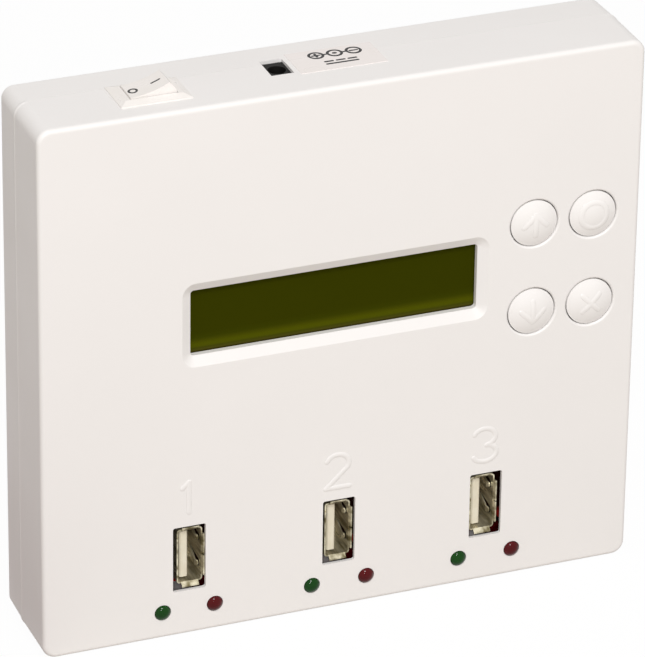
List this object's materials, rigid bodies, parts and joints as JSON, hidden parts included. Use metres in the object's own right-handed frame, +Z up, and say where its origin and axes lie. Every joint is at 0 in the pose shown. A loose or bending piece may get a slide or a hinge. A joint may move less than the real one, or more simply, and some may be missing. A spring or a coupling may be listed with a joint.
{
  "type": "usb flash drive duplicator",
  "caption": "Flat white upright box that copies flash drives: display window, round push buttons, upright USB-A sockets with lamps, and a rocker switch and power jack in its top edge.",
  "frame": {"origin": "middle of the box's footprint, on the surface that it stands on", "axes": "+Z up, +X to the right seen from the front, the front with the display looks towards -Y"},
  "size_m": [0.1346, 0.0266, 0.1271],
  "materials": {
    "case_abs": "moulded white ABS, fine satin grain",
    "button_abs": "moulded white ABS, polished",
    "switch_nylon": "moulded white nylon, satin gloss",
    "lamp_green": "tinted clear epoxy, unlit",
    "lamp_red": "tinted clear epoxy, unlit",
    "display_glass": "dark olive display glass, unlit",
    "light_guide": "clear acrylic with a white back",
    "frame_black": "black painted sheet steel",
    "socket_steel": "tin-plated sheet steel",
    "socket_insulator": "cream glass-filled polyester",
    "contact_gold": "gold-plated contacts",
    "jack_black": "black moulded plastic",
    "bright_steel": "zinc-plated steel",
    "board_red": "glass-epoxy board with red solder mask",
    "board_green": "glass-epoxy board with green solder mask",
    "chip_epoxy": "black moulded epoxy",
    "capacitor_can": "aluminium can",
    "foot_rubber": "black rubber",
    "label_film": "thin translucent film",
    "wire_vinyl": "red vinyl insulation"
  },
  "bodies": {
    "case": {"front_shell": "case_abs", "rear_cover": "case_abs", "case_screws": "bright_steel", "rubber_feet": "foot_rubber", "rating_label": "label_film", "main_board": "board_red", "board_screws": "bright_steel", "lcd_frame": "frame_black", "lcd_glass": "display_glass", "lcd_light_guide": "light_guide", "lcd_board": "board_green", "lcd_spacers": "socket_insulator", "lcd_screws": "bright_steel", "lcd_nuts": "bright_steel", "lcd_header": "jack_black", "lcd_pins": "contact_gold", "key_body_up": "jack_black", "key_body_ok": "jack_black", "key_body_down": "jack_black", "key_body_cancel": "jack_black", "usb_shell_1": "socket_steel", "usb_shell_2": "socket_steel", "usb_shell_3": "socket_steel", "usb_tongue_1": "socket_insulator", "usb_tongue_2": "socket_insulator", "usb_tongue_3": "socket_insulator", "usb_contacts_1": "contact_gold", "usb_contacts_2": "contact_gold", "usb_contacts_3": "contact_gold", "lamp_green_1": "lamp_green", "lamp_green_2": "lamp_green", "lamp_green_3": "lamp_green", "lamp_red_1": "lamp_red", "lamp_red_2": "lamp_red", "lamp_red_3": "lamp_red", "lamp_spacers": "jack_black", "lamp_leads": "bright_steel", "switch_body": "switch_nylon", "switch_terminals": "bright_steel", "switch_wires": "wire_vinyl", "jack_body": "jack_black", "jack_pin": "bright_steel", "jack_tabs": "bright_steel", "controller_chip": "chip_epoxy", "memory_chip": "chip_epoxy", "clock_crystal": "bright_steel", "capacitors": "capacitor_can"},
    "up_button": {"button_up": "button_abs", "key_plunger_up": "socket_insulator"},
    "ok_button": {"button_ok": "button_abs", "key_plunger_ok": "socket_insulator"},
    "down_button": {"button_down": "button_abs", "key_plunger_down": "socket_insulator"},
    "cancel_button": {"button_cancel": "button_abs", "key_plunger_cancel": "socket_insulator"},
    "power_rocker": {"rocker": "switch_nylon"}
  },
  "joints": [
    {"name": "press_up", "type": "slide", "parent": "case", "child": "up_button", "axis": [0, 1, 0], "range_m": [0, 0.0005], "stiffness_N_per_m": 1000},
    {"name": "press_ok", "type": "slide", "parent": "case", "child": "ok_button", "axis": [0, 1, 0], "range_m": [0, 0.0005], "stiffness_N_per_m": 1000},
    {"name": "press_down", "type": "slide", "parent": "case", "child": "down_button", "axis": [0, 1, 0], "range_m": [0, 0.0005], "stiffness_N_per_m": 1000},
    {"name": "press_cancel", "type": "slide", "parent": "case", "child": "cancel_button", "axis": [0, 1, 0], "range_m": [0, 0.0005], "stiffness_N_per_m": 1000},
    {"name": "rock_power", "type": "hinge", "parent": "case", "child": "power_rocker", "pos_m": [-0.0397, -0.0022, 0.123], "axis": [0, 1, 0], "range_deg": [0, 30]}
  ]
}
